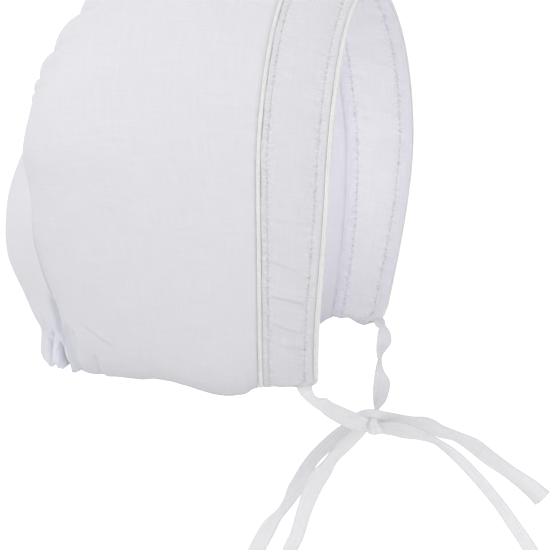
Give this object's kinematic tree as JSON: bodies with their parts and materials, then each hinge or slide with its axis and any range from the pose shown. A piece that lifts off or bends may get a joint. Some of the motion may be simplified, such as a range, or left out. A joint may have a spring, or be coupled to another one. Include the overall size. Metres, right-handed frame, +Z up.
{
  "type": "baby bonnet",
  "caption": "Soft white cotton baby bonnet with a gathered crown, a doubled brim band edged in piping, and tape ties in a half-bow under the chin.",
  "frame": {"origin": "the point of the crown's inside that rests on top of the wearer's head, on the middle plane", "axes": "+Z up, -Y out of the face opening, +X towards the wearer's left"},
  "size_m": [0.117, 0.1827, 0.2154],
  "materials": {
    "cotton": "matte fine plain weave",
    "band_cotton": "matte fine plain weave, doubled",
    "ivory_piping": "matte",
    "tape": "matte woven tape"
  },
  "bodies": {
    "root": {"crown": "cotton", "back_panel": "cotton", "band": "band_cotton", "seam_piping": "ivory_piping", "edge_piping": "ivory_piping", "near_tie": "tape", "far_tie": "tape", "tail_upper": "tape", "tail_lower": "tape", "bow_loop": "tape", "tie_knot": "tape"}
  },
  "joints": []
}
